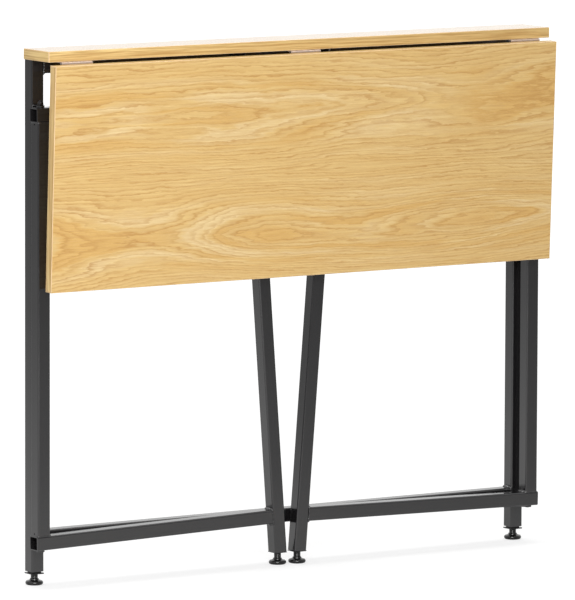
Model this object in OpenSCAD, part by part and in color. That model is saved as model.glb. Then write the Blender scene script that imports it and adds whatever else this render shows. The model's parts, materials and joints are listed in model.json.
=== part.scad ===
// Folding desk: a fixed top strip on a rear frame, a drop leaf hinged to its front edge,
// and two gates that swing out under the leaf. Drawn folded, standing on the floor at z = 0.
// x runs along the desk, y runs from the front to the back, z runs up.

/* [Desk] */
// Length of the strip and of the leaf
desk_w = 840; // [800:5:860]
// Height of the worktop above the floor
desk_h = 750; // [700:5:800]
// Thickness of both boards
board_t = 15; // [12:0.5:20]
// Depth of the fixed top strip
strip_d = 68; // [62:1:80]
// Length of the leaf from its hinged edge to its free edge
leaf_d = 315; // [300:1:335]
// Thickness of the glued edge bands
band_t = 1; // [0.5:0.1:2]

/* [Tube] */
// Outside width of the square tube
tube_w = 20; // [18:0.5:24]
// Wall of the square tube
tube_wall = 1.5; // [0.8:0.1:2]
// Outside radius of the tube's corners
tube_r = 2.5; // [2:0.1:3]

/* [Rear frame] */
// From the strip's front edge to the front of the rear posts
rear_setback = 53; // [48:1:60]
// From the strip's end to the outer face of a rear post
post_inset = 4; // [0:0.5:15]
// Height of the rear posts' lower ends
post_end_z = 19.2; // [17:0.2:24]
// Height of the underside of the rear bottom rail
rear_rail_z = 57; // [45:1:80]

/* [Gates] */
// Gap between the back of a gate and the rear frame
gate_gap = 8; // [6:0.5:12]
// How far a gate's post stands outside the rear post
gate_outset = 6.5; // [0:0.5:8]
// Space between the middles of the two gates' feet when folded
foot_spacing = 30; // [29:1:80]
// How far a leg's top reaches past the open leaf's free edge
leg_top_out = 1.5; // [-10:0.5:4]
// Height of the middle of the leg's lower end
leg_end_z = 18; // [16:0.5:24]
// Clearance between the leg's cap and the underside of the open leaf
leg_top_gap = 0.5; // [0.3:0.1:3]
// Height of the underside of the bottom rail, at the pivot axis
gate_rail_z = 53; // [45:1:80]
// From the underside of the strip down to the top of the gate's top rail
gate_top_drop = 65; // [45:1:120]
// Rise of the gate's rails towards the leg, in degrees
rail_slope = 1; // [0:0.1:1.5]
// How far the rails run past the gate's post
rail_overrun = 1.4; // [0.5:0.1:3]
// Clearance between a folded gate and the rear bottom rail
fold_gap = 0.4; // [0.3:0.1:2]
// How far the right gate is drawn swung out from its folded place, in degrees
right_ajar = 0.65; // [0:0.05:1]
// Bore of the vent holes beside the gate's corners
vent_d = 2.4; // [1.5:0.1:4]
// From the end of the post to the middle of its vent hole
vent_inset = 3; // [2:0.5:10]

/* [Pivots] */
// Thickness of the lug plates
lug_t = 2; // [1.5:0.5:4]
// Width of the lug plates
lug_w = 11; // [10:0.5:14]
// Clearance between a washer and the gate's rail
washer_gap = 0.3; // [0.25:0.05:0.8]
// Thickness of the washers
washer_t = 0.6; // [0.5:0.1:1.5]
// Outside diameter of the washers
washer_d = 11; // [9:0.5:14]
// Diameter of the pivot bolts
bolt_d = 5; // [4:0.5:6]
// Height of the pivot bolts' heads, inside the rails
bolt_head_h = 3.5; // [3:0.5:5]
// Width across the flats of the pivot bolts' heads and nuts
bolt_af = 8; // [7:0.5:10]
// Height of the lock nuts' hexagon
nut_h = 4; // [3:0.1:5]
// Height of the lock nuts' collar
nut_collar_h = 1.4; // [0.6:0.1:2]
// Clearance between a lock nut and its lug
nut_gap = 0.3; // [0.3:0.05:0.8]
// How far an upper bolt runs past its nut
bolt_tail = 1.5; // [1:0.5:3]
// How far a lower bolt runs past its lug
pin_tail = 0.8; // [0.5:0.1:1.5]

/* [Hinges] */
// Length of a hinge
hinge_l = 50; // [40:1:60]
// From the strip's end to the outer hinges
hinge_inset = 19; // [10:1:60]
// Number of hinges
hinge_count = 3; // [2:1:4]
// Reach of a hinge plate from the pin
hinge_plate_w = 19; // [16:0.5:24]
// Thickness of the hinge plates
hinge_plate_t = 1.3; // [1:0.1:1.6]
// Diameter of the knuckles
knuckle_d = 5; // [4.6:0.1:5.6]
// Diameter of the hinge pins
pin_d = 2.4; // [2:0.1:3]
// Number of knuckles in a hinge
knuckle_count = 5; // [3:2:7]
// Clearance between the knuckles and the boards
knuckle_gap = 0.3; // [0.3:0.1:1]
// Gap between the boards' edges when the leaf is open
leaf_gap = 1.4; // [1:0.1:3]
// Lean of the hanging leaf, free edge backwards, in degrees
leaf_tilt = 2.4; // [0:0.1:4]
// From a hinge plate's ends to its outer screws
screw_edge = 6; // [5:0.5:9]
// From the pin's axis to the outer row of screws
screw_reach = 14; // [13:0.5:15.5]
// How much nearer to the pin every second screw is
screw_stagger = 4; // [0:0.5:5]

/* [Screws] */
// Diameter of the screws
screw_d = 3; // [2.5:0.1:3.5]
// Diameter of the screws' heads
screw_head_d = 5.6; // [5:0.1:7]
// How far the screws go into the boards
screw_bite = 11; // [8:0.5:11.5]
// Number of screws in a hinge plate
screw_count = 3; // [2:1:3]
// Height of the strip screws' pan heads
pan_h = 2.2; // [1.5:0.1:3]

/* [Strip tabs] */
// Width of a tab
tab_w = 32; // [24:1:40]
// Reach of a tab in front of the rear top rail
tab_d = 26; // [20:1:30]
// Thickness of a tab
tab_t = 2.5; // [2:0.1:4]
// From the middle tab to the outer ones
tab_pitch = 300; // [200:10:320]

/* [Feet] */
// Diameter of a foot's disc
foot_d = 25; // [20:0.5:32]
// Radius of the disc's round edge, half the disc's thickness
foot_edge = 3; // [2:0.1:3.4]
// Height of the low cone on the disc
foot_cone = 1.2; // [0.5:0.1:1.6]
// Diameter of the collar round the stem
collar_d = 12.8; // [11:0.2:14]
// Height of the collar, which narrows to the stem
collar_h = 2; // [1:0.1:2.4]
// Diameter of a foot's stem
stem_d = 10.2; // [8:0.1:10.4]
// Length of the stem inside the tube
stem_grip = 24; // [16:1:40]
// Length of a plug inside its tube
plug_l = 22; // [12:1:40]
// Thickness of the flange on the rear posts' plugs
flange_t = 1.8; // [1:0.1:2]
// Height of the neck between that flange and the post
neck_h = 1.9; // [1:0.1:2]
// Width of the neck
neck_w = 14; // [13:0.5:15]
// Thickness of the caps on the leg tops
cap_t = 2; // [1:0.1:4]
// Length of the caps' spigots inside the legs
cap_grip = 12; // [6:1:20]
// Clearance of running and sliding fits, on the radius
fit_gap = 0.05; // [0.02:0.01:0.1]

/* [Hidden] */
$fn = 48;
LEFT = -1;
RIGHT = 1;
wood = "burlywood";
steel = "dimgray";
plastic = "black";
zinc = "silver";

// Heights
underside_z = desk_h - board_t;
top_rail_z = underside_z - tube_w;
gate_top_z = underside_z - gate_top_drop;
leg_top_z = underside_z - leg_top_gap;

// The leaf's pivot, on the hinge pins' axis
knuckle_r = knuckle_d / 2;
pivot_drop = knuckle_r + knuckle_gap;
pivot_z = underside_z - pivot_drop;

// The strip's front edge in y, with the origin midway between the front and the back of the whole desk
gate_axis_from_edge = rear_setback - gate_gap - tube_w / 2;
post_middle_from_edge = rear_setback + tube_w / 2;
leaf_front_from_edge = leaf_gap / 2 + (pivot_drop + board_t) * cos(leaf_tilt) - leaf_gap / 2 * sin(leaf_tilt);
desk_back_from_edge = max(rear_setback + tube_w, post_middle_from_edge + foot_d / 2, strip_d);
strip_front_y = (leaf_front_from_edge - desk_back_from_edge) / 2;
pivot_y = strip_front_y - leaf_gap / 2;

// Places of the posts and of the gates' axes
rear_y = strip_front_y + post_middle_from_edge;
post_x = desk_w / 2 - post_inset - tube_w / 2;
axis_x = post_x + gate_outset;
axis_y = strip_front_y + gate_axis_from_edge;

// Gates: the feet nearly meet when folded, and the legs' tops carry the open leaf's free edge
low_rail_mid_z = gate_rail_z + tube_w / 2;
top_rail_mid_z = gate_top_z - tube_w / 2;
gate_foot_x = axis_x - foot_spacing / 2;
leg_top_x = gate_axis_from_edge + leaf_gap + leaf_d + leg_top_out - tube_w / 2;
leg_lean = atan((gate_foot_x - leg_top_x) / (leg_top_z - leg_end_z));
leg_reach = gate_foot_x - (low_rail_mid_z - leg_end_z) * tan(leg_lean);
leg_low_end = (leg_end_z - low_rail_mid_z) / cos(leg_lean);
fold_angle = asin((gate_gap - fold_gap) / (leg_reach + tube_w / 2));

// Pivot stack between a gate's rail and its lug
lug_gap = washer_gap + washer_t;
upper_lug_z = gate_top_z + lug_gap;
lower_lug_z = gate_rail_z - lug_gap - lug_t;
bolt_r = bolt_d / 2;
bolt_in = tube_wall + bolt_af * tan(rail_slope);
bolt_out = lug_gap + lug_t + nut_gap;
hex_r = bolt_af / 2 / cos(30);
nut_collar_r = bolt_af * 0.44;

// Hinges
hinge_first_x = -desk_w / 2 + hinge_inset + hinge_l / 2;
hinge_pitch = (desk_w - 2 * hinge_inset - hinge_l) / (hinge_count - 1);
knuckle_l = hinge_l / knuckle_count;
knuckle_side_gap = 0.15;
plate_clear = knuckle_r + 0.5;
plate_low = pivot_drop - hinge_plate_t;
screw_r = screw_d / 2;

// Feet and plugs
bore_w = tube_w - 2 * tube_wall;
plug_r = tube_r - tube_wall;
stem_r = stem_d / 2;
collar_z = 2 * foot_edge + foot_cone;
flat_r = foot_d / 2 - foot_edge;
band_seam = 0.05;

// Square with round corners, centred
module round_square(w, r) {
    square([w - 2 * r, w], center = true);
    square([w, w - 2 * r], center = true);
    for (sx = [-1, 1]) {
        for (sy = [-1, 1]) {
            translate([sx * (w / 2 - r), sy * (w / 2 - r)]) circle(r = r);
        }
    }
}

module tube_section() {
    difference() {
        round_square(tube_w, tube_r);
        round_square(tube_w - 2 * tube_wall, tube_r - tube_wall);
    }
}

// Square tube along z from z0 to z1
module tube_z(z0, z1) {
    translate([0, 0, z0]) linear_extrude(z1 - z0) tube_section();
}

// Square tube along x from x0 to x1, middle on the x axis
module tube_x(x0, x1) {
    translate([x0, 0, 0]) rotate([0, 90, 0]) linear_extrude(x1 - x0) tube_section();
}

// Board with its underside at z = 0, its front edge at y = 0 and its middle at x = 0, without its bands
module board_core(w, d) {
    translate([-w / 2 + band_t, band_t, 0]) cube([w - 2 * band_t, d - 2 * band_t, board_t]);
}

// The four bands glued round that board
module board_bands(w, d) {
    for (y = [0, d - band_t]) {
        translate([-w / 2, y, 0]) cube([w, band_t, board_t]);
    }
    for (x = [-w / 2, w / 2 - band_t]) {
        translate([x, band_t + band_seam, 0]) cube([band_t, d - 2 * band_t - 2 * band_seam, board_t]);
    }
}

// Places the strip: front edge at the hinges, underside on the rear frame
module at_strip() {
    translate([0, strip_front_y, underside_z]) children();
}

// Places the open leaf in front of the pins, then lets it hang
module at_leaf() {
    translate([0, pivot_y, pivot_z]) rotate([90 + leaf_tilt, 0, 0]) children();
}

module at_hinges() {
    for (i = [0 : hinge_count - 1]) {
        translate([hinge_first_x + i * hinge_pitch, 0, 0]) children();
    }
}

// Screw places on a hinge plate, along x and away from the pin
module at_plate_screws() {
    span = hinge_l - 2 * screw_edge;
    for (i = [0 : screw_count - 1]) {
        nearer = (i % 2) * screw_stagger;
        translate([-span / 2 + i * span / (screw_count - 1), screw_reach - nearer, pivot_drop]) children();
    }
}

// Countersunk screw pointing up, with the plate's outer face hinge_plate_t below its origin
module countersunk_screw(extra) {
    translate([0, 0, -hinge_plate_t]) {
        cylinder(h = hinge_plate_t, r1 = screw_head_d / 2 + extra, r2 = screw_r + extra);
        cylinder(h = hinge_plate_t + screw_bite + extra, r = screw_r + extra);
    }
}

// One half of a hinge round the x axis, its plate at +y; first is 0 for the half with the outer knuckles
module hinge_half(first) {
    roll_l = knuckle_l - 2 * knuckle_side_gap;
    roll_out = knuckle_r * 0.6;
    difference() {
        union() {
            translate([-hinge_l / 2, plate_clear, plate_low])
                cube([hinge_l, hinge_plate_w - plate_clear, hinge_plate_t]);
            for (i = [first : 2 : knuckle_count - 1]) {
                translate([-hinge_l / 2 + i * knuckle_l + knuckle_side_gap, 0, 0]) {
                    rotate([0, 90, 0]) cylinder(h = roll_l, r = knuckle_r);
                    translate([0, 0, plate_low]) cube([roll_l, plate_clear, knuckle_r - plate_low]);
                    translate([0, roll_out, plate_low]) cube([roll_l, plate_clear - roll_out, hinge_plate_t]);
                }
            }
        }
        translate([-hinge_l, 0, 0]) rotate([0, 90, 0]) cylinder(h = 2 * hinge_l, r = pin_d / 2 + fit_gap);
        at_plate_screws() countersunk_screw(fit_gap);
    }
}

// Turns what lies behind the pins to in front of them
module to_leaf_side() {
    rotate([0, 0, 180]) children();
}

module top_strip() {
    color(wood) difference() {
        at_strip() board_core(desk_w, strip_d);
        translate([0, pivot_y, pivot_z]) at_hinges() at_plate_screws() countersunk_screw(fit_gap);
        at_tabs() strip_screw(fit_gap);
    }
}

module strip_edge_bands() {
    color("tan") at_strip() board_bands(desk_w, strip_d);
}

module drop_leaf() {
    color(wood) at_leaf() difference() {
        translate([0, -leaf_gap / 2 - leaf_d, pivot_drop]) board_core(desk_w, leaf_d);
        at_hinges() to_leaf_side() at_plate_screws() countersunk_screw(fit_gap);
    }
}

module leaf_edge_bands() {
    color("tan") at_leaf() translate([0, -leaf_gap / 2 - leaf_d, pivot_drop]) board_bands(desk_w, leaf_d);
}

module hinge_plates_strip() {
    color(zinc) translate([0, pivot_y, pivot_z]) at_hinges() hinge_half(0);
}

module hinge_plates_leaf() {
    color(zinc) at_leaf() at_hinges() to_leaf_side() hinge_half(1);
}

module hinge_pins() {
    color(zinc) translate([-hinge_l / 2, pivot_y, pivot_z]) at_hinges() rotate([0, 90, 0])
        cylinder(h = hinge_l, r = pin_d / 2);
}

module hinge_screws_strip() {
    color(zinc) translate([0, pivot_y, pivot_z]) at_hinges() at_plate_screws() countersunk_screw(0);
}

module hinge_screws_leaf() {
    color(zinc) at_leaf() at_hinges() to_leaf_side() at_plate_screws() countersunk_screw(0);
}

module rear_post(side) {
    color(steel) translate([side * post_x, rear_y, 0]) tube_z(post_end_z, underside_z);
}

module rear_rail(z) {
    length = 2 * post_x - tube_w;
    color(steel) translate([0, rear_y, z + tube_w / 2]) tube_x(-length / 2, length / 2);
}

// The tabs' places: middle of each tab's back edge, on the front of the rear top rail
module at_tabs() {
    for (x = [-tab_pitch, 0, tab_pitch]) {
        translate([x, rear_y - tube_w / 2, underside_z]) children();
    }
}

module strip_screw(extra) {
    for (sx = [-1, 1]) {
        translate([sx * tab_w / 4, -tab_d / 2, -tab_t]) {
            cylinder(h = tab_t + screw_bite + extra, r = screw_r + extra);
            translate([0, 0, -pan_h]) cylinder(h = pan_h, r = screw_head_d / 2);
        }
    }
}

module strip_tabs() {
    color(steel) difference() {
        at_tabs() translate([-tab_w / 2, -tab_d, -tab_t]) cube([tab_w, tab_d, tab_t]);
        at_tabs() strip_screw(fit_gap);
    }
}

module strip_screws() {
    color(zinc) at_tabs() strip_screw(0);
}

// Lug plate from the rear post's front face to the gate's axis, drawn for the left post
module lug(side, z) {
    reach_y = rear_y - tube_w / 2 - axis_y;
    color(steel) translate([side * axis_x, axis_y, z]) difference() {
        union() {
            cylinder(h = lug_t, r = lug_w / 2);
            translate([-side * gate_outset - lug_w / 2, reach_y / 2, 0]) cube([lug_w, reach_y / 2, lug_t]);
            linear_extrude(lug_t) polygon([
                [-lug_w / 2, 0], [lug_w / 2, 0],
                [-side * gate_outset + lug_w / 2, reach_y / 2], [-side * gate_outset - lug_w / 2, reach_y / 2]
            ]);
        }
        translate([0, 0, -1]) cylinder(h = lug_t + 2, r = bolt_r + fit_gap);
    }
}

// One washer beside each lug
module pivot_washers() {
    color(plastic) for (side = [LEFT, RIGHT]) {
        for (z = [upper_lug_z - washer_t, lower_lug_z + lug_t]) {
            translate([side * axis_x, axis_y, z]) difference() {
                cylinder(h = washer_t, r = washer_d / 2);
                translate([0, 0, -1]) cylinder(h = washer_t + 2, r = bolt_r + fit_gap);
            }
        }
    }
}

// Frame of a gate: its axis at the origin, its leg towards +x, folded against the rear frame.
// The left gate is drawn as it is, the right one is its mirror image, a little ajar.
module at_gate(side) {
    turn = fold_angle - (side == RIGHT ? right_ajar : 0);
    mirror([side == RIGHT ? 1 : 0, 0, 0]) translate([-axis_x, axis_y, 0]) rotate([0, 0, turn]) children();
}

// Middle line of the leg: origin at the bottom rail's height, z along the leg
module at_leg() {
    translate([leg_reach, 0, low_rail_mid_z]) rotate([0, -leg_lean, 0]) children();
}

// Middle line of a rail at height z on the axis, rising towards the leg
module at_rail(z) {
    translate([0, 0, z]) rotate([0, -rail_slope, 0]) children();
}

// Everything above height z, for cutting
module above(z) {
    translate([-desk_w, -desk_w, z]) cube([2 * desk_w, 2 * desk_w, desk_h]);
}

// Rail with its middle at height z on the axis, butted against the leg
module gate_rail(z) {
    difference() {
        at_rail(z) tube_x(-tube_w / 2 - rail_overrun, leg_reach + tube_w);
        at_leg() translate([-tube_w / 2, -tube_w, -desk_h]) cube([desk_w, 2 * tube_w, 2 * desk_h]);
    }
}

// Bore for a pivot bolt, from the middle of a rail through the wall at height z
module bolt_way(z, up) {
    translate([0, 0, up ? z - tube_w / 2 : z - 1]) cylinder(h = tube_w / 2 + 1, r = bolt_r + fit_gap);
}

module gate_bottom_rail(side) {
    color(steel) at_gate(side) difference() {
        gate_rail(low_rail_mid_z);
        bolt_way(gate_rail_z, false);
    }
}

module gate_top_rail(side) {
    color(steel) at_gate(side) difference() {
        gate_rail(top_rail_mid_z);
        bolt_way(gate_top_z, true);
    }
}

// Post between the rails, its ends cut to their slope
module gate_post(side) {
    half = tube_w / 2;
    color(steel) at_gate(side) difference() {
        tube_z(low_rail_mid_z, top_rail_mid_z);
        at_rail(low_rail_mid_z) translate([-tube_w, -tube_w, -half]) cube([2 * tube_w, 2 * tube_w, tube_w]);
        at_rail(top_rail_mid_z) translate([-tube_w, -tube_w, -half]) cube([2 * tube_w, 2 * tube_w, tube_w]);
        for (z = [low_rail_mid_z + half + vent_inset, top_rail_mid_z - half - vent_inset]) {
            translate([-tube_w, 0, z]) rotate([0, 90, 0]) cylinder(h = tube_w, r = vent_d / 2);
        }
    }
}

module gate_leg(side) {
    color(steel) at_gate(side) difference() {
        at_leg() tube_z(leg_low_end, desk_h);
        above(leg_top_z - cap_t);
    }
}

// Cap on the leg's level top, with a spigot inside the tube
module gate_cap(side) {
    cap_x = tube_w / cos(leg_lean);
    color(plastic) at_gate(side) {
        translate([leg_top_x - cap_x / 2, -tube_w / 2, leg_top_z - cap_t]) cube([cap_x, tube_w, cap_t]);
        intersection() {
            at_leg() linear_extrude(desk_h) round_square(bore_w, plug_r);
            translate([0, -tube_w, leg_top_z - cap_t - cap_grip]) cube([desk_w, 2 * tube_w, cap_grip]);
        }
    }
}

// Upright bore for a foot's stem
module stem_bore(x, y) {
    translate([x, y, -1]) cylinder(h = desk_h / 2, r = stem_r + fit_gap);
}

// Plug inside the leg's lower end
module gate_plug(side) {
    color(plastic) at_gate(side) difference() {
        at_leg() translate([0, 0, leg_low_end]) linear_extrude(plug_l) round_square(bore_w, plug_r);
        stem_bore(gate_foot_x, 0);
    }
}

module post_plug(side) {
    color(plastic) translate([side * post_x, rear_y, 0]) difference() {
        union() {
            translate([0, 0, post_end_z]) linear_extrude(plug_l) round_square(bore_w, plug_r);
            translate([0, 0, post_end_z - neck_h]) linear_extrude(neck_h) round_square(neck_w, plug_r);
            translate([0, 0, post_end_z - neck_h - flange_t]) {
                linear_extrude(flange_t) round_square(tube_w, tube_r);
            }
        }
        stem_bore(0, 0);
    }
}

// Levelling foot: disc with a round edge, low cone, collar, and stem up to height top
module foot(top) {
    color(plastic) rotate_extrude() {
        polygon([
            [0, 0], [flat_r, 0], [flat_r, 2 * foot_edge], [collar_d / 2, collar_z],
            [stem_r, collar_z + collar_h], [stem_r, top], [0, top]
        ]);
        translate([flat_r, foot_edge]) circle(r = foot_edge);
    }
}

module rear_foot(side) {
    translate([side * post_x, rear_y, 0]) foot(post_end_z + stem_grip);
}

module gate_foot(side) {
    at_gate(side) translate([gate_foot_x, 0, 0]) foot(leg_end_z + stem_grip);
}

// Bolt from a rail's outer face at z = 0, its head welded inside the rail and its shank reaching up to out
module pivot_bolt(out) {
    translate([0, 0, -bolt_in]) {
        cylinder(h = bolt_in + out, r = bolt_r);
        translate([0, 0, -bolt_head_h]) cylinder(h = bolt_head_h, r = hex_r, $fn = 6);
    }
}

// The upper bolt hangs the gate on its lug by a lock nut, and the lower one stands in its lug as a pin
module pivot_bolts(side) {
    color(zinc) at_gate(side) {
        translate([0, 0, gate_top_z]) pivot_bolt(bolt_out + nut_h + nut_collar_h + bolt_tail);
        translate([0, 0, gate_rail_z]) rotate([180, 0, 0]) pivot_bolt(lug_gap + lug_t + pin_tail);
    }
}

// Lock nut above the upper lug, a hexagon with a round collar
module lock_nut(side) {
    color(zinc) at_gate(side) translate([0, 0, gate_top_z + bolt_out]) difference() {
        union() {
            cylinder(h = nut_h, r = hex_r, $fn = 6);
            cylinder(h = nut_h + nut_collar_h, r = nut_collar_r);
        }
        translate([0, 0, -1]) cylinder(h = nut_h + nut_collar_h + 2, r = bolt_r + fit_gap);
    }
}

top_strip();
strip_edge_bands();
drop_leaf();
leaf_edge_bands();
rear_post(LEFT);  // rear_post_left
rear_post(RIGHT);  // rear_post_right
rear_rail(top_rail_z);  // rear_top_rail
rear_rail(rear_rail_z);  // rear_bottom_rail
strip_tabs();
strip_screws();
lug(LEFT, upper_lug_z);  // upper_lug_left
lug(RIGHT, upper_lug_z);  // upper_lug_right
lug(LEFT, lower_lug_z);  // lower_lug_left
lug(RIGHT, lower_lug_z);  // lower_lug_right
pivot_washers();
gate_post(LEFT);  // gate_post_left
gate_top_rail(LEFT);  // gate_top_rail_left
gate_bottom_rail(LEFT);  // gate_bottom_rail_left
gate_leg(LEFT);  // gate_leg_left
gate_cap(LEFT);  // gate_cap_left
gate_plug(LEFT);  // gate_plug_left
pivot_bolts(LEFT);  // pivot_bolts_left
lock_nut(LEFT);  // lock_nut_left
gate_post(RIGHT);  // gate_post_right
gate_top_rail(RIGHT);  // gate_top_rail_right
gate_bottom_rail(RIGHT);  // gate_bottom_rail_right
gate_leg(RIGHT);  // gate_leg_right
gate_cap(RIGHT);  // gate_cap_right
gate_plug(RIGHT);  // gate_plug_right
pivot_bolts(RIGHT);  // pivot_bolts_right
lock_nut(RIGHT);  // lock_nut_right
post_plug(LEFT);  // post_plug_left
post_plug(RIGHT);  // post_plug_right
rear_foot(LEFT);  // rear_foot_left
rear_foot(RIGHT);  // rear_foot_right
gate_foot(LEFT);  // gate_foot_left
gate_foot(RIGHT);  // gate_foot_right
hinge_plates_strip();
hinge_plates_leaf();
hinge_pins();
hinge_screws_strip();
hinge_screws_leaf();
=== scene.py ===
"""Looks of the folding desk: oak print boards, powder-coated square tube, steel hinges and plastic feet."""
import json
import math

import bmesh
import bpy
from mathutils import Matrix, Vector


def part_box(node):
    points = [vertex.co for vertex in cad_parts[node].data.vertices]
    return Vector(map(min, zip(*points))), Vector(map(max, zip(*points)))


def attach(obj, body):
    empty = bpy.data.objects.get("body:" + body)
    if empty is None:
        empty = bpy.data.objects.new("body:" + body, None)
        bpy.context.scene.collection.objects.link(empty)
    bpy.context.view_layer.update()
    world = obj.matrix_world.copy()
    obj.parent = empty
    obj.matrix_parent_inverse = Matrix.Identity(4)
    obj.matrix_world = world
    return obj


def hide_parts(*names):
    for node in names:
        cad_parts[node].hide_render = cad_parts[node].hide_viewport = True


MM = 0.001

# The photograph's frame, in pixels
PHOTO_LONG_SIDE = 600

# The camera, measured from the floor under the strip's front left corner, in metres, degrees and pixels
CAMERA_PLACE = Vector((-5.1499, -8.5090, 1.5799))
CAMERA_YAW = 33.079
CAMERA_PITCH = 6.724
CAMERA_ROLL = 0.215
CAMERA_FOCAL_PX = 7255.6

# Boards
BAND = 1.0 * MM
BAND_EDGE_RADIUS = 0.65 * MM
BEVEL_STEPS = 4
RING_PITCH = 3.9 * MM
LEAF_GAP = 1.4 * MM
LEAF_OPENS = math.radians(92.4)

# Oak figure, in metres: how far the middle lines sway, how deep the pith goes and how the rings waver
OAK_SWAY = 0.04
OAK_PITH = 0.11
OAK_WAVES = 0.026
OAK_JAG = 0.009

# Colours, in steps of 0 to 255
OAK_TONES = ((229, 195, 129), (241, 217, 165), (220, 174, 97), (186, 136, 71))
BAND_TONES = ((231, 201, 138), (187, 148, 88))
# The paler tone of the bands' rounded edges is a painted highlight
ARRIS_HIGHLIGHT_TONE = (240, 208, 164)
COAT_TONES = ((24, 23, 24), (29, 28, 29))
PLASTIC_TONES = ((17, 17, 17), (24, 24, 23))
ZINC_TONE = (150, 148, 142)
BLACK_STEEL_TONE = (62, 60, 60)
HINGE_TONE = (228, 208, 194)
FLOOR_TONE = (172, 172, 172)

# Square tube and the gates, measured along each gate from its axis
TUBE = 20.0 * MM
TUBE_CORNER = 2.5 * MM
CORNER_STEPS = 6
RAIL_SLOPE = math.radians(1.0)
LEG_LEAN = math.radians(4.3577)
LEG_REACH = 394.07 * MM
LOW_RAIL_Z = 63.0 * MM
TOP_RAIL_Z = 660.0 * MM
LEG_END = 18.0 * MM

# Lips of the legs' plugs, under the legs' lower ends
LIP = 1.1 * MM
LIP_INSET = 0.1 * MM
LIP_OVERLAP = 0.2 * MM
LIP_RADIUS = 0.5 * MM

# Weld beads
BEAD = 3.8 * MM
BEAD_PITCH = 3.4 * MM
BEAD_SIDES = 8

# Rings of a thread in each turn
THREAD_STEPS = 6

# Feet: the disc with its round edge, the cone and collar above it as (height, radius) in mm, and the stem
FOOT_SEGMENTS = 64
FOOT_BASE = 8.6 * MM
FOOT_FLAT = 9.5 * MM
FOOT_ROUND = 3.0 * MM
FOOT_ROUND_STEPS = 16
FOOT_CONE = ((6.25, 8.6), (6.8, 7.4), (7.2, 6.5), (7.5, 6.4), (8.6, 6.2), (9.0, 5.8), (9.2, 4.7))
STEM_RADIUS = 5.1 * MM
STEM_START = 9.3 * MM
STEM_PITCH = 1.5 * MM
STEM_DEPTH = 0.22 * MM
STEM_TIP = 3.0 * MM

# Screws, and the shares of a head that are its flat, its dome's height and its recess
SCREW_HEAD = 2.2 * MM
SCREW_SHANK = 1.5 * MM
SCREW_PITCH = 1.0 * MM
SCREW_DEPTH = 0.3 * MM
SCREW_SEGMENTS = 48
HEAD_STEPS = 6
HEAD_FLAT = 0.68
HEAD_DOME = 0.75
RECESS_ARM = 0.62
RECESS_WIDE = 0.17
RECESS_DEEP = 0.55

# Pivot bolts and their nuts, 8 mm across flats
BOLT_ACROSS = 8.0 * MM
BOLT_HEAD = 3.5 * MM
BOLT_TIP = 2.0 * MM
BOLT_SHANK = 2.45 * MM
BOLT_THREAD_RADIUS = 2.5 * MM
BOLT_PITCH = 0.8 * MM
BOLT_DEPTH = 0.25 * MM
BOLT_THREADED = 9.0 * MM
BOLT_POINT = 0.5 * MM
BOLT_SEGMENTS = 72

# The floor's reach in metres and its share in reflections
FLOOR_HALF = 60.0
MIRRORED_FLOOR = 0.52

# The world's light on the desk, its least light in reflections, its bright side and where it fades to that
WORLD_LEVEL = 0.48
WORLD_DIM = 0.3
WORLD_BRIGHT_SIDE = (0.25, 0.8, 0.75)
WORLD_FADE = (-0.4, 0.5)

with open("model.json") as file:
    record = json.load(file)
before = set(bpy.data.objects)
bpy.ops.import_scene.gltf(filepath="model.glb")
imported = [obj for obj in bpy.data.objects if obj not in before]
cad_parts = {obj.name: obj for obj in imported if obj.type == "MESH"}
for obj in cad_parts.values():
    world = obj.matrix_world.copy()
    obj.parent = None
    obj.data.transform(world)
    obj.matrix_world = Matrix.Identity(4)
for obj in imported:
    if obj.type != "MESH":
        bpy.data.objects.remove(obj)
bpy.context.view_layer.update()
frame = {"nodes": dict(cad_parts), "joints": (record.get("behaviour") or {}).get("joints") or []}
joints = {j["name"]: j for j in frame["joints"]}


def linear(red, green, blue):
    """A colour given in the usual 0 to 255 steps, as the shader wants it."""
    def one(value):
        value /= 255
        return value / 12.92 if value <= 0.04045 else ((value + 0.055) / 1.055) ** 2.4
    return (one(red), one(green), one(blue), 1.0)


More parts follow.
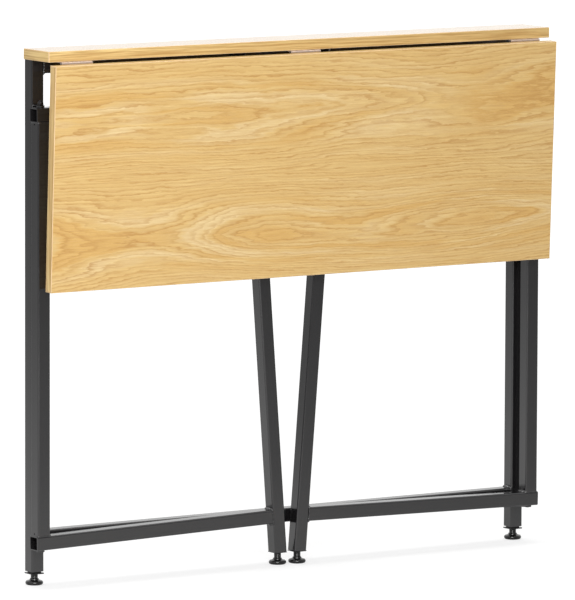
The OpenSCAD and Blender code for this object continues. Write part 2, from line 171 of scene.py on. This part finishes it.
class Nodes:
    """Short ways to build a material's node tree."""

    def __init__(self, name):
        self.material = bpy.data.materials.new(name)
        self.material.use_nodes = True
        self.tree = self.material.node_tree
        self.shader = self.tree.nodes["Principled BSDF"]

    def put(self, target, value):
        if isinstance(value, bpy.types.NodeSocket):
            self.tree.links.new(value, target)
        else:
            target.default_value = value

    def add(self, kind, **inputs):
        node = self.tree.nodes.new(kind)
        for key, value in inputs.items():
            self.put(node.inputs[key.replace("_", " ")], value)
        return node

    def math(self, operation, *values):
        node = self.tree.nodes.new("ShaderNodeMath")
        node.operation = operation
        for socket, value in zip(node.inputs, values):
            self.put(socket, value)
        return node.outputs[0]

    def place(self):
        return self.tree.nodes.new("ShaderNodeTexCoord").outputs["Object"]

    def split(self, vector):
        node = self.add("ShaderNodeSeparateXYZ", Vector=vector)
        return node.outputs[0], node.outputs[1], node.outputs[2]

    def join(self, x, y, z):
        return self.add("ShaderNodeCombineXYZ", X=x, Y=y, Z=z).outputs[0]

    def noise(self, vector, scale, detail=2.0, roughness=0.5):
        node = self.add("ShaderNodeTexNoise", Vector=vector, Scale=scale, Detail=detail, Roughness=roughness)
        return node.outputs["Fac"]

    def ramp(self, value, stops):
        """Colours or grey levels along a value: stops are (place, colour or level)."""
        node = self.tree.nodes.new("ShaderNodeValToRGB")
        self.tree.links.new(value, node.inputs[0])
        points = node.color_ramp.elements
        while len(points) < len(stops):
            points.new(0.5)
        for point, (where, what) in zip(points, stops):
            point.position = where
            point.color = what if isinstance(what, tuple) else (what, what, what, 1.0)
        return node.outputs[0]

    def mix(self, share, first, second):
        node = self.tree.nodes.new("ShaderNodeMix")
        node.data_type = "RGBA"
        self.put(node.inputs["Factor"], share)
        self.put(node.inputs[6], first)
        self.put(node.inputs[7], second)
        return node.outputs[2]

    def bump(self, height, distance, strength=1.0):
        node = self.add("ShaderNodeBump", Height=height, Distance=distance, Strength=strength)
        self.tree.links.new(node.outputs[0], self.shader.inputs["Normal"])

    def finish(self, color, roughness, **more):
        self.put(self.shader.inputs["Base Color"], color)
        self.put(self.shader.inputs["Roughness"], roughness)
        for key, value in more.items():
            self.put(self.shader.inputs[key.replace("_", " ")], value)
        return self.material


def oak(name, along, across, axis_at, period, shift, rough, relief):
    """Lacquered oak print. Growth rings are cut by the board's face: their radius is taken from a middle line
    of the figure and from the depth of the pith, which changes along the grain. So the rings run as long
    arches and fine lines. along and across name the axes (0, 1 or 2) of the grain and of the board's width,
    axis_at and period place the middle lines, and shift picks another figure."""
    n = Nodes(name)
    axes = n.split(n.place())
    u = axes[along]
    v = axes[across]
    depth = axes[3 - along - across]
    side = n.math("ADD", n.math("MULTIPLY", n.math("SIGN", n.math("ADD", depth, 0.011)), 0.37), shift)
    drawn = n.join(n.math("MULTIPLY", u, 0.16), v, side)
    sway = n.math("MULTIPLY", n.math("SUBTRACT", n.noise(drawn, 7.0, 1.0, 0.4), 0.5), OAK_SWAY)
    middle = n.math("PINGPONG", n.math("ADD", n.math("SUBTRACT", v, axis_at), sway), period / 2)
    hills = n.noise(n.join(u, n.math("MULTIPLY", v, 2.1), side), 2.6, 0.0)
    pith = n.math("MULTIPLY", n.math("SUBTRACT", hills, 0.24), OAK_PITH)
    waves = n.math("MULTIPLY", n.math("SUBTRACT", n.noise(drawn, 24.0, 1.5, 0.5), 0.5), OAK_WAVES)
    jag = n.math("MULTIPLY", n.math("SUBTRACT", n.noise(drawn, 120.0, 3.0, 0.65), 0.5), OAK_JAG)
    depth_squared = n.math("POWER", n.math("ADD", pith, waves), 2.0)
    radius = n.math("SQRT", n.math("ADD", n.math("POWER", middle, 2.0), depth_squared))
    rings = n.math("DIVIDE", n.math("ADD", radius, jag), RING_PITCH)
    ring = n.math("FRACT", rings)
    count = n.math("FLOOR", rings)
    by_ring = n.join(n.math("MULTIPLY", count, 0.43), n.math("MULTIPLY", u, 2.6), side)
    by_flame = n.join(n.math("MULTIPLY", rings, 0.19), n.math("MULTIPLY", u, 1.7), n.math("ADD", side, 3.0))
    line = n.ramp(ring, [(0.0, 0.0), (0.08, 0.9), (0.18, 1.0), (0.4, 0.3), (0.7, 0.0), (1.0, 0.0)])
    fade = n.ramp(n.noise(by_ring, 2.3, 2.0), [(0.32, 0.2), (0.62, 1.0)])
    flame = n.noise(by_flame, 2.2, 3.0, 0.6)
    honey_at = n.ramp(flame, [(0.5, 0.0), (0.62, 1.0)])
    pale_at = n.ramp(flame, [(0.34, 1.0), (0.47, 0.0)])
    streaks = n.noise(n.join(n.math("MULTIPLY", u, 0.02), v, side), 520.0, 3.0, 0.7)
    dashes = n.noise(n.join(n.math("MULTIPLY", u, 0.035), v, side), 980.0, 2.0, 0.6)
    pore = n.ramp(dashes, [(0.35, 1.0), (0.5, 0.0)])
    base, pale, honey, dark = (linear(*tone) for tone in OAK_TONES)
    off_middle = n.math("DIVIDE", middle, period / 2)
    drama = n.ramp(off_middle, [(0.0, 0.8), (0.35, 0.7), (0.65, 0.25), (1.0, 0.15)])
    color = n.mix(n.math("MULTIPLY", pale_at, drama), base, pale)
    color = n.mix(n.math("MULTIPLY", n.math("MULTIPLY", honey_at, drama), 0.85), color, honey)
    color = n.mix(n.math("MULTIPLY", n.math("MULTIPLY", line, fade), 0.66), color, dark)
    color = n.mix(n.ramp(streaks, [(0.35, 0.32), (0.65, 0.0)]), color, dark)
    color = n.mix(n.math("MULTIPLY", pore, 0.2), color, dark)
    n.bump(n.math("SUBTRACT", 1.0, pore), relief, 0.4)
    dull = n.ramp(pore, [(0.0, rough), (1.0, rough + 0.08)])
    return n.finish(color, dull, Coat_Weight=0.7, Coat_Roughness=0.12)


def band_print(name, along, across, light, dark):
    """Printed edge band: fine streaks along it."""
    n = Nodes(name)
    axes = n.split(n.place())
    flow = n.join(n.math("MULTIPLY", axes[along], 0.025), axes[across], axes[3 - along - across])
    streaks = n.ramp(n.noise(flow, 420.0, 3.0, 0.62), [(0.4, 0.0), (0.62, 1.0)])
    slow = n.noise(flow, 60.0, 1.0)
    color = n.mix(streaks, linear(*light), linear(*dark))
    color = n.mix(n.ramp(slow, [(0.35, 0.35), (0.65, 0.0)]), color, linear(*dark))
    n.bump(streaks, 0.015 * MM, 0.4)
    return n.finish(color, n.ramp(streaks, [(0.0, 0.3), (1.0, 0.38)]))


def painted_highlight_band(name, tone):
    """The rounded edges of a band, painted paler than its print as a highlight."""
    n = Nodes(name)
    mottle = n.noise(n.place(), 300.0, 2.0)
    color = n.mix(mottle, linear(*tone), linear(*(0.95 * c for c in tone)))
    return n.finish(color, 0.35)


def powder_coat(name):
    """Anthracite powder coat: fine orange peel, slightly uneven tone."""
    n = Nodes(name)
    place = n.place()
    peel = n.noise(place, 1100.0, 2.0, 0.5)
    cloud = n.noise(place, 22.0, 3.0)
    color = n.mix(cloud, *(linear(*tone) for tone in COAT_TONES))
    n.bump(peel, 0.01 * MM, 0.5)
    return n.finish(color, n.ramp(cloud, [(0.3, 0.11), (0.7, 0.15)]), IOR=1.8)


def plastic(name):
    """Black moulded plastic with a fine grain."""
    n = Nodes(name)
    place = n.place()
    grain = n.noise(place, 2600.0, 1.0)
    color = n.mix(n.noise(place, 60.0, 2.0), *(linear(*tone) for tone in PLASTIC_TONES))
    n.bump(grain, 0.012 * MM, 0.4)
    return n.finish(color, n.ramp(grain, [(0.3, 0.15), (0.7, 0.22)]))


def steel(name, along, tone, rough=(0.26, 0.4)):
    """Rolled or plated steel with fine scratches along one axis."""
    n = Nodes(name)
    x, y, z = n.split(n.place())
    squeeze = [0.05 if axis == along else 1.0 for axis in range(3)]
    stretched = n.join(*(n.math("MULTIPLY", c, k) for c, k in zip((x, y, z), squeeze)))
    lines = n.noise(stretched, 2200.0, 2.0)
    color = n.mix(lines, linear(*(0.86 * c for c in tone)), linear(*tone))
    n.bump(lines, 0.01 * MM, 0.5)
    return n.finish(color, n.ramp(lines, [(0.3, rough[0]), (0.7, rough[1])]), Metallic=1.0)


OAK_LEAF = oak("oak_leaf", 0, 2, 0.487, 0.173, 7.3, 0.24, 0.02 * MM)
OAK_STRIP = oak("oak_strip", 0, 1, 0.02, 0.16, 2.3, 0.14, 0.002 * MM)
BAND_ALONG = band_print("band_along_x", 0, 2, *BAND_TONES)
BAND_LEAF_ALONG = band_print("band_leaf_along_x", 0, 1, *BAND_TONES)
BAND_END = band_print("band_along_y", 1, 2, *BAND_TONES)
BAND_LEAF_END = band_print("band_along_z", 2, 1, *BAND_TONES)
COAT = powder_coat("powder_coat")
PLASTIC = plastic("black_plastic")
ZINC = steel("zinc_plate", 2, ZINC_TONE)
BLACK_STEEL = steel("blackened_steel", 2, BLACK_STEEL_TONE, (0.3, 0.42))
HINGE_STEEL = steel("hinge_steel", 0, HINGE_TONE, (0.42, 0.5))
# Painted highlight for the bands' rounded outer edges
ARRIS_HIGHLIGHT = painted_highlight_band("band_arris_highlight", ARRIS_HIGHLIGHT_TONE)


def link(name, mesh, *materials):
    piece = bpy.data.objects.new(name, mesh)
    bpy.context.scene.collection.objects.link(piece)
    for material in materials:
        mesh.materials.append(material)
    return piece


def fasten(piece, body, slot, *nodes):
    """Makes a piece ride on its body and stand for the CAD nodes; its slot is not used."""
    if nodes:
        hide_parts(*nodes)
    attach(piece, body)
    return piece


def paint(node, material):
    """Gives a carried-over CAD node its material."""
    piece = frame["nodes"][node]
    for slot in piece.material_slots:
        slot.material = material
    if not piece.material_slots:
        piece.data.materials.append(material)


def paint_all():
    for node in frame["nodes"]:
        if node == "top_strip":
            paint(node, OAK_STRIP)
        elif node == "drop_leaf":
            paint(node, OAK_LEAF)
        elif node.endswith("edge_bands"):
            paint(node, BAND_ALONG)
        elif node.startswith("hinge_plates"):
            paint(node, HINGE_STEEL)
        elif node.startswith(("hinge_", "strip_screws")):
            paint(node, ZINC)
        elif node.startswith(("pivot_bolts", "lock_nut")):
            paint(node, BLACK_STEEL)
        elif node == "pivot_washers" or "foot" in node or "plug" in node or "cap" in node:
            paint(node, PLASTIC)
        else:
            paint(node, COAT)


def smooth(mesh, angle=40):
    for polygon in mesh.polygons:
        polygon.use_smooth = True
    mesh.set_sharp_from_angle(angle=math.radians(angle))


def rounded_box(name, low, high, radius, material, outer=None):
    """A box with rounded edges: all of them, or those of the face that outer names as (axis, coordinate),
    which then take the paler band material as a painted highlight.
    """
    mesh = bpy.data.meshes.new(name)
    body = bmesh.new()
    bmesh.ops.create_cube(body, size=1.0)
    size = Vector(high) - Vector(low)
    centre = (Vector(high) + Vector(low)) / 2
    bmesh.ops.scale(body, vec=size, verts=body.verts)
    bmesh.ops.translate(body, vec=centre, verts=body.verts)
    edges = body.edges[:]
    if outer:
        axis, where = outer
        edges = [e for e in edges if all(abs(v.co[axis] - where) < 1e-6 for v in e.verts)]
    # Material slot of the painted highlight on the rounded outer edges
    highlight_slot = 1 if outer else -1
    bmesh.ops.bevel(body, geom=edges, offset=radius, segments=BEVEL_STEPS, profile=0.5, affect="EDGES",
                    material=highlight_slot)
    body.to_mesh(mesh)
    body.free()
    smooth(mesh)
    return link(name, mesh, material, ARRIS_HIGHLIGHT) if outer else link(name, mesh, material)


def turned(name, rings, material, segments=FOOT_SEGMENTS, turn=None):
    """A round body along z from rings of (height, radius). A radius may be a function of the angle."""
    points = []
    faces = []
    for height, radius in rings:
        for step in range(segments):
            angle = 2 * math.pi * step / segments
            r = radius(angle) if callable(radius) else radius
            points.append((r * math.cos(angle), r * math.sin(angle), height))
    for ring in range(len(rings) - 1):
        for step in range(segments):
            a = ring * segments + step
            b = ring * segments + (step + 1) % segments
            faces.append((a, b, b + segments, a + segments))
    faces.append(tuple(reversed(range(segments))))
    faces.append(tuple(range((len(rings) - 1) * segments, len(rings) * segments)))
    mesh = bpy.data.meshes.new(name)
    mesh.from_pydata(points, [], faces)
    if turn:
        mesh.transform(turn)
    mesh.update()
    body = bmesh.new()
    body.from_mesh(mesh)
    bmesh.ops.recalc_face_normals(body, faces=body.faces)
    body.to_mesh(mesh)
    body.free()
    smooth(mesh)
    return link(name, mesh, material)


def thread(start, end, radius, pitch, depth):
    """Rings of a screw thread: its crest runs round once a pitch."""
    def crest(height):
        def radius_at(angle):
            phase = ((height - start) / pitch - angle / (2 * math.pi)) % 1.0
            return radius - depth * abs(2 * phase - 1.0)
        return radius_at
    steps = max(2, round(THREAD_STEPS * (end - start) / pitch))
    heights = [start + (end - start) * k / steps for k in range(steps + 1)]
    return [(height, crest(height)) for height in heights]


def islands(node, turn=None):
    """Boxes of the separate bodies in a CAD node, after a turn."""
    mesh = frame["nodes"][node].data
    owner = list(range(len(mesh.vertices)))

    def root(index):
        while owner[index] != index:
            owner[index] = owner[owner[index]]
            index = owner[index]
        return index

    places = {}
    for vertex in mesh.vertices:
        key = tuple(round(c, 6) for c in vertex.co)
        owner[vertex.index] = places.setdefault(key, vertex.index)
    for edge in mesh.edges:
        a, b = (root(v) for v in edge.vertices)
        owner[a] = b
    groups = {}
    for vertex in mesh.vertices:
        groups.setdefault(root(vertex.index), []).append(turn @ vertex.co if turn else vertex.co.copy())
    boxes = []
    for group in groups.values():
        low = Vector((min(p[k] for p in group) for k in range(3)))
        high = Vector((max(p[k] for p in group) for k in range(3)))
        boxes.append((low, high))
    return sorted(boxes, key=lambda box: tuple(round(c, 4) for c in box[0]))


def leaf_turn():
    """From the opened leaf's place to its hanging place at rest."""
    pivot = Vector(joints["leaf_hinge"]["pos_m"])
    return Matrix.Translation(pivot) @ Matrix.Rotation(LEAF_OPENS, 4, "X") @ Matrix.Translation(-pivot)


def bands(prefix, width, depth, thick, turn, node, body, along, end):
    """The four edge bands of a board with its near bottom edge at the origin. turn puts them in place."""
    half = width / 2
    parts = {
        "front": ((-half, 0, 0), (half, BAND, thick), (1, 0.0), along),
        "back": ((-half, depth - BAND, 0), (half, depth, thick), (1, depth), along),
        "left": ((-half, BAND, 0), (-half + BAND, depth - BAND, thick), (0, -half), end),
        "right": ((half - BAND, BAND, 0), (half, depth - BAND, thick), (0, half), end),
    }
    for name, (low, high, outer, material) in parts.items():
        piece = rounded_box(f"{prefix}_band_{name}", low, high, BAND_EDGE_RADIUS, material, outer)
        piece.data.transform(turn)
        fasten(piece, body, "edge_band", node)


def make_bands():
    low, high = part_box("strip_edge_bands")
    thick = high.z - low.z
    place = Matrix.Translation(Vector((0, low.y, low.z)))
    width = high.x - low.x
    bands("strip", width, high.y - low.y, thick, place, "strip_edge_bands", "frame", BAND_ALONG, BAND_END)
    opened = [leaf_turn().inverted() @ v.co for v in frame["nodes"]["leaf_edge_bands"].data.vertices]
    depth = max(p.y for p in opened) - min(p.y for p in opened)
    place = leaf_turn() @ Matrix.Translation(Vector((0, low.y - LEAF_GAP - depth, low.z)))
    bands("leaf", width, depth, thick, place, "leaf_edge_bands", "leaf", BAND_LEAF_ALONG, BAND_LEAF_END)


def foot_rings(top):
    """A levelling foot: disc with a round edge, low cone, collar and threaded stem up to the top."""
    rings = [(0.0, FOOT_BASE), (0.0, FOOT_FLAT)]
    for step in range(1, FOOT_ROUND_STEPS):
        angle = math.pi * (step / FOOT_ROUND_STEPS - 0.5)
        rings.append((FOOT_ROUND * (1 + math.sin(angle)), FOOT_FLAT + FOOT_ROUND * math.cos(angle)))
    rings.append((2 * FOOT_ROUND, FOOT_FLAT))
    rings += [(height * MM, radius * MM) for height, radius in FOOT_CONE]
    return rings + thread(STEM_START, top, STEM_RADIUS, STEM_PITCH, STEM_DEPTH) + [(top, STEM_TIP)]


def make_feet():
    for side in ("left", "right"):
        for place in ("rear", "gate"):
            node = f"{place}_foot_{side}"
            low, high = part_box(node)
            at = Matrix.Translation(Vector(((low.x + high.x) / 2, (low.y + high.y) / 2, 0.0)))
            piece = turned(f"{node}_turned", foot_rings(high.z), PLASTIC, turn=at)
            fasten(piece, f"foot_{place}_{side}", "plastic", node)


def make_plugs():
    """The posts' end plugs: thin flange, inset neck and the part inside the tube."""
    for side in ("left", "right"):
        node = f"post_plug_{side}"
        low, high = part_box(node)
        x, y = (low.x + high.x) / 2, (low.y + high.y) / 2
        base = low.z
        # Half width, bottom, top and edge radius
        parts = {
            "flange": (TUBE / 2, base, base + 1.8 * MM, 0.5 * MM),
            "neck": (7.0 * MM, base + 1.5 * MM, base + 4.2 * MM, 0.3 * MM),
            "inside": (8.4 * MM, base + 3.72 * MM, high.z, 0.8 * MM),
        }
        for name, (half, bottom, top, radius) in parts.items():
            corners = ((x - half, y - half, bottom), (x + half, y + half, top))
            piece = rounded_box(f"{node}_{name}", *corners, radius, PLASTIC)
            fasten(piece, "frame", "plastic", node)


def make_leg_ends():
    """The gates' leg plugs show as a thin lip round the legs' lower ends."""
    for side in ("left", "right"):
        place = gate_place(side)
        low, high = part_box(f"gate_foot_{side}")
        away = place.inverted() @ ((low + high) / 2)
        half = TUBE / 2 - LIP_INSET
        corners = ((away.x - half, -half, LEG_END - LIP), (away.x + half, half, LEG_END + LIP_OVERLAP))
        piece = rounded_box(f"leg_lip_{side}", *corners, LIP_RADIUS, PLASTIC)
        piece.data.transform(place)
        fasten(piece, f"gate_{side}", "plastic")


def cross(length, width):
    """Outline of a cross recess as a radius at each angle."""
    def radius_at(angle):
        away = abs((angle + math.pi / 4) % (math.pi / 2) - math.pi / 4)
        return min(length / math.cos(away), width / max(math.sin(away), 1e-6))
    return radius_at


def screw_rings(radius, head, shank, length):
    """A pan head screw, its head at the bottom facing down, with a cross recess."""
    arm, wide = radius * RECESS_ARM, radius * RECESS_WIDE
    rings = [(head * RECESS_DEEP, cross(arm * 0.55, wide * 0.7)), (0.0, cross(arm, wide))]
    rings.append((0.0, radius * HEAD_FLAT))
    for step in range(1, HEAD_STEPS + 1):
        angle = math.pi / 2 * step / HEAD_STEPS
        spread = HEAD_FLAT + (1 - HEAD_FLAT) * math.sin(angle)
        rings.append((head * HEAD_DOME * (1 - math.cos(angle)), radius * spread))
    return rings + [(head, radius), (head, shank)] + thread(head, length, shank, SCREW_PITCH, SCREW_DEPTH)


def make_screws():
    sets = (
        ("strip_screws", "frame", None, COAT),
        ("hinge_screws_strip", "frame", None, ZINC),
        ("hinge_screws_leaf", "leaf", leaf_turn(), ZINC),
    )
    for node, body, turn, material in sets:
        for count, (low, high) in enumerate(islands(node, turn.inverted() if turn else None)):
            radius = (high.x - low.x) / 2
            at = Matrix.Translation(Vector(((low.x + high.x) / 2, (low.y + high.y) / 2, low.z)))
            rings = screw_rings(radius, SCREW_HEAD, SCREW_SHANK, high.z - low.z)
            piece = turned(f"{node}_{count}", rings, material, SCREW_SEGMENTS, turn @ at if turn else at)
            fasten(piece, body, "zinc", node)


def hexagon(across, limit):
    """A hexagon's outline, cut back to a round limit."""
    def radius_at(angle):
        away = abs((angle + math.pi / 6) % (math.pi / 3) - math.pi / 6)
        return min(across / 2 / math.cos(math.pi / 6 - away), limit)
    return radius_at


def make_pivots():
    """Each gate's lock nut, upper bolt and lower pin. Their hexagons are chamfered at the ends alone."""
    sharp = hexagon(BOLT_ACROSS, BOLT_ACROSS)
    for side in ("left", "right"):
        node = f"lock_nut_{side}"
        low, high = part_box(node)
        at = Matrix.Translation(Vector(((low.x + high.x) / 2, (low.y + high.y) / 2, low.z)))
        # Bore and lower chamfer, the hexagon with its upper chamfer, and the collar that locks
        rings = [(0.0, 2.55 * MM), (0.0, hexagon(BOLT_ACROSS, 4.05 * MM)), (0.45 * MM, sharp)]
        rings += [(3.4 * MM, sharp), (3.9 * MM, hexagon(BOLT_ACROSS, 4.0 * MM)), (4.0 * MM, 3.5 * MM)]
        rings += [(4.9 * MM, 3.4 * MM), (5.25 * MM, 3.1 * MM), (5.4 * MM, 2.56 * MM)]
        piece = turned(f"{node}_turned", rings, BLACK_STEEL, BOLT_SEGMENTS, at)
        fasten(piece, f"gate_{side}", "zinc", node)
        node = f"pivot_bolts_{side}"
        lower, upper = sorted(islands(node), key=lambda box: box[0].z)
        for name, (low, high), flip in (("pin", lower, True), ("bolt", upper, False)):
            centre = Vector(((low.x + high.x) / 2, (low.y + high.y) / 2, high.z if flip else low.z))
            at = Matrix.Translation(centre)
            if flip:
                at = at @ Matrix.Rotation(math.pi, 4, "X")
            long = high.z - low.z
            rings = [(0.0, BOLT_TIP), (0.0, hexagon(BOLT_ACROSS, 4.2 * MM)), (BOLT_HEAD, sharp)]
            rings += [(BOLT_HEAD, BOLT_SHANK)]
            start, end = long - BOLT_THREADED, long - BOLT_POINT
            rings += thread(start, end, BOLT_THREAD_RADIUS, BOLT_PITCH, BOLT_DEPTH) + [(long, BOLT_TIP)]
            piece = turned(f"{node}_{name}", rings, BLACK_STEEL, BOLT_SEGMENTS, at)
            fasten(piece, f"gate_{side}", "zinc", node)


def weld(name, centre, normal, up, body, one_sided=False):
    """A bead round the end of a square tube that butts on a flat face: normal is the tube's direction. It is
    full on the sides towards up and away from it, or with one_sided towards up alone, and thin elsewhere."""
    normal = Vector(normal).normalized()
    first = Vector(up).normalized()
    second = normal.cross(first)
    flat = TUBE / 2 - TUBE_CORNER
    path = []
    for corner in range(4):
        middle = math.pi / 4 + corner * math.pi / 2
        cx = flat * (1 if math.cos(middle) > 0 else -1)
        cy = flat * (1 if math.sin(middle) > 0 else -1)
        for step in range(CORNER_STEPS + 1):
            angle = corner * math.pi / 2 + math.pi / 2 * step / CORNER_STEPS
            path.append((cx + TUBE_CORNER * math.cos(angle), cy + TUBE_CORNER * math.sin(angle)))
    path.append(path[0])
    samples = []
    for (ax, ay), (bx, by) in zip(path, path[1:]):
        span = math.hypot(bx - ax, by - ay)
        steps = max(1, round(span / (BEAD_PITCH / 5)))
        samples += [(ax + (bx - ax) * k / steps, ay + (by - ay) * k / steps) for k in range(steps)]
    count = len(samples)
    points = []
    faces = []
    run = 0.0
    for index, (px, py) in enumerate(samples):
        qx, qy = samples[(index + 1) % count]
        outward = Vector((px, py)).normalized()
        wave = abs(math.sin(math.pi * run / BEAD_PITCH))
        share = max(outward.x, 0.0) if one_sided else outward.x
        radius = BEAD * (0.3 + 0.7 * share ** 4) * (0.78 + 0.22 * wave + 0.08 * math.sin(1.7 * index))
        run += math.hypot(qx - px, qy - py)
        at = centre + first * px + second * py
        out = first * outward.x + second * outward.y
        for step in range(BEAD_SIDES):
            angle = 2 * math.pi * step / BEAD_SIDES
            points.append(at + out * (radius * math.cos(angle)) + normal * (radius * math.sin(angle)))
    for index in range(count):
        for step in range(BEAD_SIDES):
            a = index * BEAD_SIDES + step
            b = index * BEAD_SIDES + (step + 1) % BEAD_SIDES
            c = (index + 1) % count * BEAD_SIDES
            faces.append((a, b, c + (step + 1) % BEAD_SIDES, c + step))
    mesh = bpy.data.meshes.new(name)
    mesh.from_pydata(points, [], faces)
    smooth(mesh, 60)
    fasten(link(name, mesh, COAT), body, "frame_paint")


def gate_place(side):
    """From a gate's own frame, its axis at the origin and its leg towards +x, to its place at rest."""
    axis = Vector(joints[f"gate_{side}_swing"]["pos_m"])
    low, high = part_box(f"gate_foot_{side}")
    away = (low + high) / 2 - axis
    turn = math.atan2(away.y, away.x)
    return Matrix.Translation(Vector((axis.x, axis.y, 0))) @ Matrix.Rotation(turn, 4, "Z")


def make_welds():
    for rail in ("rear_top_rail", "rear_bottom_rail"):
        low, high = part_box(rail)
        middle = (low + high) / 2
        for name, x in (("left", low.x), ("right", high.x)):
            weld(f"weld_{rail}_{name}", Vector((x, middle.y, middle.z)), (1, 0, 0), (0, 0, 1), "frame")
    along = Vector((math.cos(RAIL_SLOPE), 0, math.sin(RAIL_SLOPE)))
    across = Vector((-math.sin(RAIL_SLOPE), 0, math.cos(RAIL_SLOPE)))
    leg_side = Vector((math.cos(LEG_LEAN), 0, math.sin(LEG_LEAN)))
    for side in ("left", "right"):
        place = gate_place(side)
        turn = place.to_3x3()
        for name, z, inward in (("low", LOW_RAIL_Z, 1), ("top", TOP_RAIL_Z, -1)):
            run = LEG_REACH * math.cos(LEG_LEAN) - TUBE / 2 - (z - LOW_RAIL_Z) * math.sin(LEG_LEAN)
            run /= math.cos(LEG_LEAN - RAIL_SLOPE)
            at = place @ (Vector((0, 0, z)) + along * run)
            leg_up = (turn @ leg_side).cross(turn @ Vector((0, 1, 0)))
            weld(f"weld_{name}_rail_{side}", at, turn @ leg_side, leg_up, f"gate_{side}")
            at = place @ (Vector((0, 0, z)) + across * (inward * TUBE / 2))
            weld(f"weld_{name}_post_{side}", at, turn @ across, turn @ along, f"gate_{side}", one_sided=True)


def make_camera():
    low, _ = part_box("strip_edge_bands")
    yaw, pitch, roll = (math.radians(a) for a in (CAMERA_YAW, CAMERA_PITCH, CAMERA_ROLL))
    ahead = Vector((math.sin(yaw) * math.cos(pitch), math.cos(yaw) * math.cos(pitch), -math.sin(pitch)))
    right = Vector((math.cos(yaw), -math.sin(yaw), 0.0))
    up = right.cross(ahead)
    across = right * math.cos(roll) + up * math.sin(roll)
    upward = up * math.cos(roll) - right * math.sin(roll)
    data = bpy.data.cameras.new("camera")
    data.lens = CAMERA_FOCAL_PX * data.sensor_width / PHOTO_LONG_SIDE
    data.clip_end = 100.0
    camera = bpy.data.objects.new("camera", data)
    turn = Matrix((across, upward, -ahead)).transposed().to_4x4()
    camera.matrix_world = Matrix.Translation(CAMERA_PLACE + Vector((low.x, low.y, 0.0))) @ turn
    bpy.context.scene.collection.objects.link(camera)
    bpy.context.scene.camera = camera


def make_floor():
    """A pale floor. It glows to the camera, less so near the desk, and in reflections, most near it."""
    mesh = bpy.data.meshes.new("floor")
    far = FLOOR_HALF
    mesh.from_pydata([(-far, -far, 0), (far, -far, 0), (far, far, 0), (-far, far, 0)], [], [(0, 1, 2, 3)])
    n = Nodes("pale_floor")
    n.finish(linear(*FLOOR_TONE), 0.9)
    path = n.tree.nodes.new("ShaderNodeLightPath")
    x, y, _ = n.split(n.place())
    squares = n.math("ADD", n.math("POWER", x, 2.0), n.math("POWER", y, 2.0))
    away = n.math("DIVIDE", n.math("SQRT", squares), 8.0)
    behind = n.math("ADD", n.math("MULTIPLY", y, 0.4), n.math("MULTIPLY_ADD", x, -0.3, 0.5))
    near = n.ramp(away, [(0.05, 1.0), (0.16, 0.6), (0.4, 0.34), (0.9, 0.2)])
    mirrored = n.math("MULTIPLY", near, n.ramp(behind, [(0.0, 0.12), (1.0, 1.0)]))
    mirrored = n.math("MULTIPLY", mirrored, MIRRORED_FLOOR)
    direct = n.ramp(away, [(0.06, 0.62), (0.4, 0.84), (0.8, 0.92)])
    seen = n.math("MAXIMUM", path.outputs["Is Camera Ray"], path.outputs["Is Transmission Ray"])
    to_gloss = n.math("MULTIPLY", path.outputs["Is Glossy Ray"], mirrored)
    n.put(n.shader.inputs["Emission Color"], (1.0, 1.0, 1.0, 1.0))
    n.put(n.shader.inputs["Emission Strength"], n.math("ADD", n.math("MULTIPLY", seen, direct), to_gloss))
    link("floor", mesh, n.material)


def make_world():
    """White to the camera. In reflections it is white above and behind the desk, and dims to its front."""
    world = bpy.data.worlds.new("studio")
    bpy.context.scene.world = world
    world.use_nodes = True
    tree = world.node_tree
    ground = tree.nodes["Background"]
    ground.inputs["Color"].default_value = (1.0, 1.0, 1.0, 1.0)
    path = tree.nodes.new("ShaderNodeLightPath")
    facing = tree.nodes.new("ShaderNodeVectorMath")
    facing.operation = "DOT_PRODUCT"
    facing.inputs[1].default_value = WORLD_BRIGHT_SIDE
    tree.links.new(tree.nodes.new("ShaderNodeTexCoord").outputs["Generated"], facing.inputs[0])

    def spread(value, low, high, bottom, top):
        node = tree.nodes.new("ShaderNodeMapRange")
        for name, number in (("From Min", low), ("From Max", high), ("To Min", bottom), ("To Max", top)):
            if isinstance(number, bpy.types.NodeSocket):
                tree.links.new(number, node.inputs[name])
            else:
                node.inputs[name].default_value = number
        tree.links.new(value, node.inputs["Value"])
        return node.outputs[0]

    in_gloss = spread(facing.outputs["Value"], *WORLD_FADE, WORLD_DIM, 1.0)
    strength = spread(path.outputs["Is Glossy Ray"], 0.0, 1.0, WORLD_LEVEL, in_gloss)
    strength = spread(path.outputs["Is Camera Ray"], 0.0, 1.0, strength, 1.0)
    tree.links.new(strength, ground.inputs["Strength"])


def make_lamp(name, place, aim, size, power):
    data = bpy.data.lights.new(name, "AREA")
    data.shape = "RECTANGLE"
    data.size, data.size_y = size
    data.energy = power
    lamp = bpy.data.objects.new(name, data)
    lamp.location = place
    lamp.rotation_euler = (Vector(aim) - Vector(place)).to_track_quat("-Z", "Y").to_euler()
    bpy.context.scene.collection.objects.link(lamp)


paint_all()
make_bands()
make_feet()
make_plugs()
make_leg_ends()
make_screws()
make_pivots()
make_welds()
make_floor()
make_world()
make_lamp("front_box", (-1.7, -2.7, 1.35), (0, 0, 0.4), (1.8, 1.1), 84)
make_lamp("left_box", (-3.4, -0.6, 1.6), (0, 0, 0.4), (1.8, 1.8), 13)
make_lamp("top_box", (0.2, 0.5, 3.0), (0, 0, 0.75), (2.4, 1.2), 37)
make_camera()

bpy.context.scene.view_settings.view_transform = "Standard"
